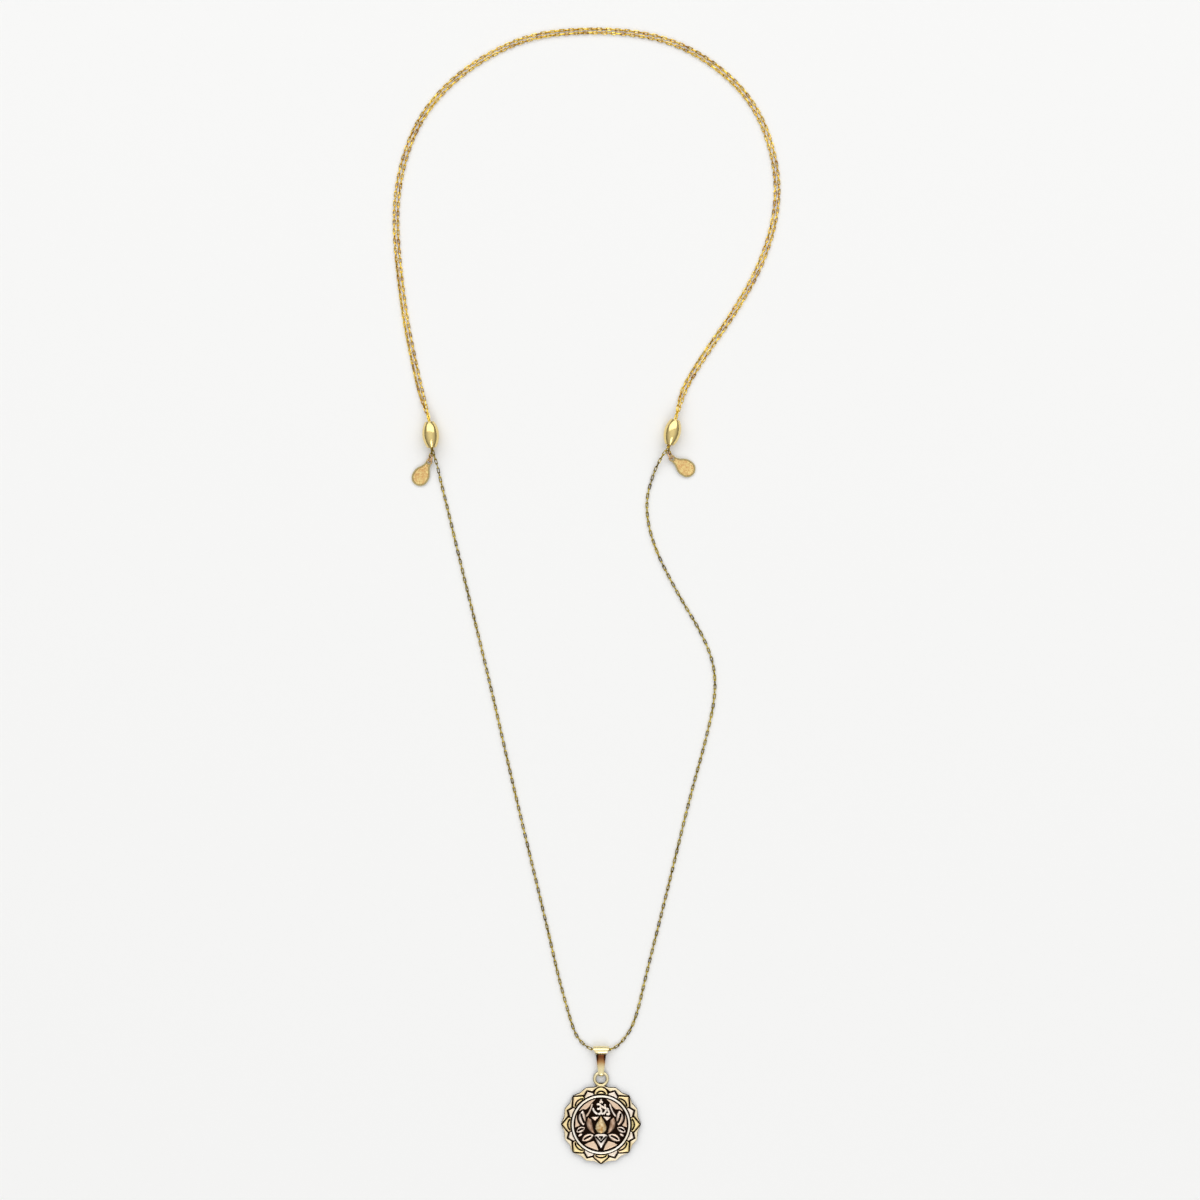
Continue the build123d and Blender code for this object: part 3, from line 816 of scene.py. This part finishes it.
bm = bmesh.new()
grid = bmesh.ops.create_grid(bm, x_segments=len(line) - 1, y_segments=8, size=0.5)["verts"]
for vertex in grid:
    y, z = line[round((vertex.co.x + 0.5) * (len(line) - 1))]
    vertex.co = (chain_low.x + vertex.co.y * 2 * bail_half_w(y), chain_low.y + y, z)
bmesh.ops.remove_doubles(bm, verts=bm.verts, dist=0.001)
bmesh.ops.recalc_face_normals(bm, faces=bm.faces)
bm.normal_update()
for vertex in bm.verts:
    share = (vertex.co.x - chain_low.x) / bail_half_w(vertex.co.y - chain_low.y)
    vertex.co -= vertex.normal * bail_crown * share**2
bmesh.ops.solidify(bm, geom=bm.faces[:], thickness=bail_wall)
bmesh.ops.recalc_face_normals(bm, faces=bm.faces)
bmesh.ops.scale(bm, verts=bm.verts, vec=(mm, mm, mm))
piece = finish_piece("bail_strip", bm, bail_gilt)
soften = piece.modifiers.new("soften", "BEVEL")
soften.width = bail_edge_round * mm
soften.segments = 2
soften.limit_method = "ANGLE"
soften.angle_limit = radians(50)
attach(piece, "root")
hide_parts("bail")

# Medallion: a round lotus amulet cast in brass with the loop at its top, then blackened and
# polished, which leaves the ground and every groove dark and the raised tops bright. Its slopes
# and the edges of its raised forms are also darkened with painted shade.
medallion_r = 12.85
scallop_depth = 0.85
back_petal_inset = 0.25
edge_wear = 0.06
plate_t = 1.1
medallion_centre = Vector((4.64, -168.9, 0))
loop_wire_d = 1.0
loop_r = 2.05
loop_centre = Vector((0, 14.5, 1.05))
ring_r = 9.05
ring_w = 0.6
ring_h = 2.0
groove_w = 0.4
lotus_r = ring_r - ring_w / 2 - groove_w
petal_r = ring_r + ring_w / 2 + groove_w
petal_pairs = 8
pair_corners = 8
root_z = plate_t / 2
vein_depth = 0.75


def corners_line(corners, count):
    """Evenly spaced places along the straight runs between corners."""
    x, y = np.array(corners).T
    travel = np.append(0, np.cumsum(np.hypot(np.diff(x), np.diff(y))))
    spots = np.linspace(0, travel[-1], count + 1)
    along = zip(np.interp(spots, travel, x), np.interp(spots, travel, y))
    return [Vector(place) for place in along]


def raise_shape(bm, left, right, edge_h, top_h, fullness, veins=(), vein_w=0.26, across=12):
    """Closed raised shape between two lines of places, in mm from the medallion's centre.

    It swells from edge_h at its edges to top_h, as a ridge at fullness 1, a dome at 2 and
    nearly flat above 4. A vein is a line of places along which its surface is carved.
    """
    count = len(left) - 1
    grid = bmesh.ops.create_grid(bm, x_segments=count, y_segments=across, size=0.5)["verts"]
    for vertex in grid:
        step = round((vertex.co.x + 0.5) * count)
        share = vertex.co.y + 0.5
        place = left[step].lerp(right[step], share)
        swell = 1 - abs(2 * share - 1) ** fullness
        swell *= 1 - abs(2 * step / count - 1) ** (2 * fullness)
        z = edge_h + (top_h - edge_h) * swell
        for vein in veins:
            off = min((place - spot).length for spot in vein) / vein_w
            z -= vein_depth * max(0, 1 - off**2)
        vertex.co = (*place, z)
    rim = [edge for edge in bm.edges if edge.is_boundary]
    walls = bmesh.ops.extrude_edge_only(bm, edges=rim)["geom"]
    foot = [item for item in walls if isinstance(item, bmesh.types.BMVert)]
    for vertex in foot:
        vertex.co.z = root_z
    bmesh.ops.contextual_create(bm, geom=[edge for edge in bm.edges if edge.is_boundary])
    bmesh.ops.remove_doubles(bm, verts=grid + foot, dist=0.01)


def mirrored(line):
    """A line of places on the other side of the medallion."""
    return [Vector((-x, y)) for x, y in line]


def both_sides(bm, left, right, veins=(), **form):
    """Raises a shape and its mirror image on the other side of the medallion."""
    raise_shape(bm, left, right, veins=veins, **form)
    other_veins = [mirrored(vein) for vein in veins]
    raise_shape(bm, mirrored(left), mirrored(right), veins=other_veins, **form)


def all_round(bm, steps, left, right, veins=(), **form):
    """Raises a shape that lies along +X, turned from the top by steps of a petal each."""
    for step in steps:
        turn = Matrix.Rotation(tau / 4 + step * tau / petal_pairs, 2)
        lines = [[turn @ place for place in line] for line in (left, right, *veins)]
        raise_shape(bm, *lines[:2], veins=lines[2:], **form)


def of_lotus(*places):
    """Places in mm from shares of the lotus's radius."""
    return [Vector(place) * lotus_r for place in places]


def stroke_lines(places, width, count=14):
    """The two sides of a round-ended stroke along an arc through three places."""
    middle = bow(*places, count)
    ways = [b - a for a, b in zip([middle[0], *middle], [*middle[1:], middle[-1]])]
    half = [width / 2 * sqrt(max(0, 1 - (2 * i / count - 1) ** 8)) for i in range(count + 1)]
    offs = [Vector((-way.y, way.x)).normalized() * w for way, w in zip(ways, half)]
    return [p + o for p, o in zip(middle, offs)], [p - o for p, o in zip(middle, offs)]


def finish_casting(name, bm, material):
    """Puts a part of the casting in its place, in metres, and lets it ride."""
    bmesh.ops.recalc_face_normals(bm, faces=bm.faces)
    bmesh.ops.translate(bm, verts=bm.verts, vec=medallion_centre)
    bmesh.ops.scale(bm, verts=bm.verts, vec=(mm, mm, mm))
    piece = finish_piece(name, bm, material)
    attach(piece, "root")
    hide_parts("medallion")


def blackened_shaded_brass(name, tone, other_tone, bright_above, patch=4.0, brushed=0):
    """Cast brass whose polished tops drift between two tones, and whose depths stay black.

    It is bright where it stands higher than bright_above mm and looks up. Lower down, and on
    faces that turn away from straight up, it is dark: blackened in the hollows, with painted
    shade on the slopes and round the edges of the raised forms. The patches of tone are patch
    mm across. Brushed adds fine slanting strokes of the other tone, drawn 0.35 mm apart,
    coarser than the real ones, so that they show.
    """
    # In mm, the height over which the black fades out, how far its edge wavers up and down,
    # and the gap between strokes
    fade, ragged_by, stroke_gap = 0.2, 0.12, 0.35
    material, shader = new_material(name)
    tree = material.node_tree
    surface = add(tree, "TexCoord", {}, {}).outputs["Object"]
    spot = add(tree, "SeparateXYZ", {}, {0: surface}).outputs
    normal = add(tree, "NewGeometry", {}, {}).outputs["Normal"]
    facing = add(tree, "SeparateXYZ", {}, {0: normal}).outputs["Z"]
    drift = add(tree, "TexNoise", {}, {"Vector": surface, "Scale": 1 / (patch * mm), "Detail": 3})
    ragged = add(tree, "TexNoise", {}, {"Vector": surface, "Scale": 1 / (0.5 * mm), "Detail": 2})
    edge = add(
        tree,
        "MapRange",
        {},
        {"Value": ragged.outputs["Fac"], "To Min": -ragged_by * mm, "To Max": ragged_by * mm},
    )
    height = add(tree, "Math", {}, {0: spot["Z"], 1: edge.outputs["Result"]})
    high = add(
        tree,
        "MapRange",
        {"interpolation_type": "SMOOTHSTEP"},
        {
            "Value": height.outputs["Value"],
            "From Min": (bright_above - fade) * mm,
            "From Max": bright_above * mm,
        },
    )
    # Faces that turn away from straight up are left dark, which is painted shade
    level = add(
        tree,
        "MapRange",
        {"interpolation_type": "SMOOTHSTEP"},
        {"Value": facing, "From Min": 0.15, "From Max": 0.6},
    )
    brightness = add(
        tree,
        "Math",
        {"operation": "MULTIPLY"},
        {0: high.outputs["Result"], 1: level.outputs["Result"]},
    )
    share = add(
        tree,
        "MapRange",
        {},
        {"Value": drift.outputs["Fac"], "From Min": 0.35, "From Max": 0.65},
    ).outputs["Result"]
    if brushed:
        middle_x = medallion_centre.x * mm
        aside = add(tree, "Math", {"operation": "SUBTRACT"}, {0: spot["X"], 1: middle_x})
        aside = add(tree, "Math", {"operation": "ABSOLUTE"}, {0: aside.outputs["Value"]})
        slant = add(tree, "Math", {}, {0: aside.outputs["Value"], 1: spot["Y"]})
        sweep = add(tree, "CombineXYZ", {}, {"X": slant.outputs["Value"]})
        # A wave texture repeats every pi / 10 of its input at scale 1
        turns = pi / 10 / (stroke_gap * sqrt(2) * mm)
        strokes = add(
            tree,
            "TexWave",
            {},
            {"Vector": sweep.outputs["Vector"], "Scale": turns, "Distortion": 0.5},
        )
        share = add(
            tree,
            "Mix",
            {"data_type": "FLOAT"},
            {"Factor": brushed, "A": share, "B": strokes.outputs["Fac"]},
        ).outputs["Result"]
    tone_mix = add(
        tree,
        "Mix",
        {"data_type": "RGBA"},
        {"Factor": share, "A": linear(tone), "B": linear(other_tone)},
    )
    # Black where the mask is low: the real blackening on the ground and in grooves, and painted
    # shade on slopes and round the edges of the raised forms
    tint = add(
        tree,
        "Mix",
        {"data_type": "RGBA"},
        {
            "Factor": brightness.outputs["Value"],
            "A": linear("#20130C"),
            "B": tone_mix.outputs["Result"],
        },
    )
    tree.links.new(tint.outputs["Result"], shader.inputs["Base Color"])
    polish = brightness.outputs["Value"]
    rough = add(tree, "MapRange", {}, {"Value": polish, "To Min": 0.6, "To Max": 0.4})
    tree.links.new(rough.outputs["Result"], shader.inputs["Roughness"])
    shader.inputs["Metallic"].default_value = 1
    return material


# Plate with its scalloped edge, rubbed a little smaller than the part's own, and the thin
# ring round the lotus. The ring stands high and is the most polished, a nearly white brass.
bm = bmesh.new()
plate_corners = pair_corners * petal_pairs
bmesh.ops.create_circle(
    bm,
    cap_ends=True,
    segments=plate_corners,
    radius=medallion_r - edge_wear,
    matrix=Matrix.Rotation(tau / 4, 4, "Z"),
)
folds = (0, scallop_depth, back_petal_inset, scallop_depth, 0)
insets = np.interp(range(pair_corners), np.linspace(0, pair_corners, len(folds)), folds)
for vertex in bm.verts:
    corner = round(atan2(vertex.co.y, vertex.co.x) / tau * plate_corners) % pair_corners
    vertex.co *= 1 - insets[corner] / medallion_r
top = bmesh.ops.extrude_face_region(bm, geom=bm.faces[:])["geom"]
for vertex in (item for item in top if isinstance(item, bmesh.types.BMVert)):
    vertex.co.z = plate_t
# The ring's section, as places across it and heights, with rounded shoulders
section = [(-ring_w / 2, root_z), (-ring_w / 2, 1.86), (-0.26, 1.95), (-0.14, ring_h)]
section += [(-x, z) for x, z in reversed(section)]
corners = [bm.verts.new((ring_r + x, 0, z)) for x, z in section]
edges = [bm.edges.new(pair) for pair in zip(corners, [*corners[1:], corners[0]])]
bmesh.ops.spin(
    bm,
    geom=corners + edges,
    cent=(0, 0, 0),
    axis=(0, 0, 1),
    angle=tau,
    steps=120,
    use_merge=True,
)
ring_brass = blackened_shaded_brass("blackened_brass_ring", "#FFFAF0", "#FCF0DA", 1.75)
finish_casting("medallion_plate", bm, ring_brass)

# Loop, and the web that joins it to the plate. The bail has rubbed the black off it, down to
# a straw colour.
bm = bmesh.new()
web = [Vector((1.6, 11.6)), Vector((1.1, 13.2))]
raise_shape(bm, mirrored(web), web, edge_h=0.95, top_h=1.05, fullness=4)
wire_ring(bm, loop_r, loop_wire_d, loop_centre, Vector((0, 0, 1)), steps=48)
loop_brass = blackened_shaded_brass("rubbed_brass_loop", "#F6EAC4", "#EAD8A2", 1.25)
finish_casting("medallion_loop", bm, loop_brass)

# Border: one stretch behind each back petal, from the tip of one front petal to the next. It
# is narrow, and polished to a warm straw colour between black folds. The two stretches beside
# the loop have a crook at their upper end.
border = {"edge_h": 1.36, "top_h": 1.5, "fullness": 3, "across": 8}
bm = bmesh.new()
fold = [(11.75, -4.32), (10.82, -1.5), (11.88, 0), (10.82, 1.5), (11.75, 4.32)]
rim = [(11.80, -4.62), (11.71, -2.32), (12.53, 0), (11.71, 2.32), (11.80, 4.62)]
behind = [step + 0.5 for step in range(1, petal_pairs - 1)]
all_round(bm, behind, corners_line(fold, 32), corners_line(rim, 32), **border)
crook = [(11.3, -4.5), (11.45, -3.75), (11.17, -2.5), *fold[1:]]
turn = Matrix.Rotation(tau / 4 + 0.5 * tau / petal_pairs, 2)
lines = [corners_line(crook, 32), corners_line([(11.6, -4.55), *rim[1:]], 32)]
both_sides(bm, *[[turn @ place for place in line] for line in lines], **border)
border_brass = blackened_shaded_brass("blackened_brass_border", "#FBEED2", "#EBD6A8", 1.4)
finish_casting("medallion_border", bm, border_brass)

# Front petals, each with a groove along its foot, and the round one at the top. They are
# polished to the full gold of the brass.
front = {"edge_h": 1.5, "top_h": 1.8, "fullness": 5}
bm = bmesh.new()
side = [(9.52, -2.09), (10.45, -2.25), (12.4, 0), (10.45, 2.25), (9.52, 2.09)]
foot = bow(side[0], (petal_r, 0), side[-1], 24)
groove = bow((9.96, -1.67), (10.6, 0), (9.96, 1.67), 40)
steps = range(1, petal_pairs)
all_round(bm, steps, foot, corners_line(side, 24), veins=[groove], across=16, **front)
foot = (-2.07, 9.53), (0, petal_r), (2.07, 9.53)
groove = bow((-1.3, 10.0), (0, 10.63), (1.3, 10.0), 40)
brow = bow(foot[0], (0, 11.8), foot[2], 24)
raise_shape(bm, bow(*foot, 24), brow, veins=[groove], across=14, **front)
gold_brass = blackened_shaded_brass("blackened_brass_gold", "#FFE2B8", "#FBE6A6", 1.64)
finish_casting("edge_petals_front", bm, gold_brass)

# Back petals between them, plain and set lower. Their tops are a paler, slightly rosy brass,
# and black shows all round them.
bm = bmesh.new()
side = [(9.49, -1.42), (10.1, -1.55), (11.3, 0), (10.1, 1.55), (9.49, 1.42)]
foot = bow(side[0], (9.6, 0), side[-1], 20)
steps = [step + 0.5 for step in range(petal_pairs)]
brow = corners_line(side, 20)
all_round(bm, steps, foot, brow, edge_h=1.35, top_h=1.6, fullness=4)
pale_brass = blackened_shaded_brass("blackened_brass_pale", "#F8ECE0", "#EEDCC0", 1.52)
finish_casting("edge_petals_back", bm, pale_brass)

# Lotus: leaves at its sides, small petals above the drop, and ribs. Their rounded tops are
# polished in small patches, pale rose and browner.
bm = bmesh.new()
leaves = [
    ((-0.66, -0.042), (-0.695, 0.53), (-0.86, 0.25), (-0.58, 0.24)),
    ((-0.61, -0.12), (-0.95, -0.29), (-0.81, -0.1), (-0.73, -0.3)),
    ((-0.71, -0.355), (-0.88, -0.455), (-0.82, -0.36), (-0.77, -0.45)),
    ((-0.28, -0.40), (-0.74, -0.63), (-0.56, -0.385), (-0.455, -0.62)),
]
veins = [
    ((-0.645, 0.085), (-0.71, 0.22), (-0.755, 0.385)),
    ((-0.70, -0.16), (-0.78, -0.185), (-0.86, -0.235)),
    None,
    ((-0.41, -0.44), (-0.515, -0.485), (-0.62, -0.555)),
]
for (base, tip, outer, inner), vein in zip(leaves, veins):
    lines = [bow(*of_lotus(base, through, tip), 24) for through in (outer, inner)]
    both_sides(
        bm,
        *lines,
        edge_h=1.42,
        top_h=1.75,
        fullness=3,
        veins=[bow(*of_lotus(*vein), 40)] if vein else [],
        vein_w=0.34,
        across=16,
    )
tip, corner, low = of_lotus((-0.39, 0.285), (-0.07, 0.31), (-0.226, 0.123))
lines = [corners_line([tip, corner], 12), corners_line([tip, low, corner], 12)]
both_sides(bm, *lines, edge_h=1.5, top_h=1.8, fullness=3)
rib = of_lotus((-0.57, 0.30), (-0.425, 0.52), (-0.335, 0.80))
both_sides(bm, *stroke_lines(rib, width=0.55), edge_h=1.55, top_h=1.75, fullness=2, across=4)
rose_brass = blackened_shaded_brass("blackened_brass_rose", "#FFF0E2", "#EBCFB6", 1.58, patch=2.5)
finish_casting("lotus_petals", bm, rose_brass)

# Upright petals beside the drop. They were polished less, so their tops stay a dusky brown,
# lighter and darker in small patches.
bm = bmesh.new()
base, tip = (-0.234, -0.36), (-0.49, 0.28)
outer = bow(*of_lotus(base, (-0.55, -0.04), tip), 24)
inner = corners_line(of_lotus(base, (-0.305, -0.1), (-0.33, 0.05), (-0.36, 0.17), tip), 24)
both_sides(bm, outer, inner, edge_h=1.42, top_h=1.85, fullness=2)
dusky_brass = blackened_shaded_brass("blackened_brass_dusky", "#D9BAA2", "#AA876C", 1.62, patch=1.5)
finish_casting("lotus_upright_petals", bm, dusky_brass)

# Smooth fields between the lotus and the ring, nearly flat and brushed with slanting strokes
# to an even tan. Each begins and ends on the ring's inner side.
fields = [
    [(-0.85, 0.5), (-0.2, 0.975), (-0.345, 0.82), (-0.45, 0.66), (-0.56, 0.56), (-0.7, 0.585)],
    [(-0.925, 0.37), (-0.993, -0.113), (-0.79, -0.045), (-0.885, 0.08), (-0.925, 0.23)],
    [(-0.635, -0.772), (-0.09, -0.996), (-0.155, -0.79), (-0.275, -0.63), (-0.48, -0.69)],
]
bm = bmesh.new()
for field in fields:
    first, last, *others = of_lotus(*field)
    brow = bow(first, (first + last).normalized() * lotus_r, last, 24)
    inner = corners_line([first, *reversed(others), last], 24)
    both_sides(bm, brow, inner, edge_h=1.35, top_h=1.6, fullness=8)
tan_brass = blackened_shaded_brass("blackened_brass_tan", "#F5E0C6", "#D6B496", 1.5, brushed=0.6)
finish_casting("lotus_fields", bm, tan_brass)

# Drop-shaped middle petal, the roundest and highest form of the lotus, polished in small
# patches of yellow and brown
drop_r, drop_y, drop_tip_y = 0.24, -0.116, 0.341
touch = asin(drop_r / (drop_tip_y - drop_y))
flank = (-drop_r * cos(touch), drop_y + drop_r * sin(touch))
low, waist, flank, tip = of_lotus((0, drop_y - drop_r), (-drop_r, drop_y), flank, (0, drop_tip_y))
left = bow(low, waist, flank, 18) + corners_line([flank, tip], 10)[1:]
bm = bmesh.new()
raise_shape(bm, left, mirrored(left), edge_h=1.4, top_h=2.05, fullness=2, across=16)
yellow_brass = blackened_shaded_brass("blackened_brass_yellow", "#FFEEC0", "#BE9154", 1.7, patch=1.2)
finish_casting("lotus_drop", bm, yellow_brass)

# Heart-shaped petal under it with a V and a hollow carved in it, and the sign above the
# lotus. Both stand high and are polished bright and pale.
notch, lobe, shoulder = of_lotus((0, -0.395), (-0.14, -0.362), (-0.257, -0.43))
flank, tip = of_lotus((-0.17, -0.64), (0, -0.92))
left = bow(notch, lobe, shoulder, 10) + bow(shoulder, flank, tip, 20)[1:]
vein = bow(*of_lotus((-0.185, -0.475), (-0.1, -0.56), (-0.01, -0.66)), 40)
hollow = corners_line(of_lotus((-0.06, -0.47), (0.06, -0.47), (0, -0.54)), 24)
bm = bmesh.new()
raise_shape(
    bm,
    left,
    mirrored(left),
    edge_h=1.6,
    top_h=2.0,
    fullness=4,
    veins=[vein, mirrored(vein), hollow],
    across=28,
)
sign_strokes = [
    ((-0.163, 0.745), (-0.01, 0.705), (-0.088, 0.604)),
    ((-0.155, 0.600), (-0.10, 0.598), (-0.045, 0.606)),
    ((-0.045, 0.604), (0.012, 0.50), (-0.12, 0.405)),
    ((-0.12, 0.405), (-0.244, 0.486), (-0.306, 0.64)),
    ((0.0, 0.715), (0.089, 0.655), (0.225, 0.612)),
    ((0.148, 0.782), (0.152, 0.72), (0.148, 0.65)),
    ((0.25, 0.64), (0.272, 0.55), (0.326, 0.44)),
    ((0.205, 0.58), (0.155, 0.475), (0.084, 0.40)),
    ((0.009, 0.46), (0.04, 0.42), (0.084, 0.40)),
    ((0.21, 0.43), (0.268, 0.39), (0.326, 0.44)),
    ((0.0, 0.965), (0.003, 0.93), (0.0, 0.89)),
    ((-0.065, 0.848), (-0.02, 0.865), (0.0, 0.895)),
    ((0.0, 0.895), (0.03, 0.862), (0.078, 0.84)),
]
for stroke in sign_strokes:
    lines = stroke_lines(of_lotus(*stroke), width=0.62)
    raise_shape(bm, *lines, edge_h=1.8, top_h=1.9, fullness=3, across=6)
bright_brass = blackened_shaded_brass("blackened_brass_bright", "#FDF4EA", "#F6E4D2", 1.78)
finish_casting("lotus_heart_and_sign", bm, bright_brass)
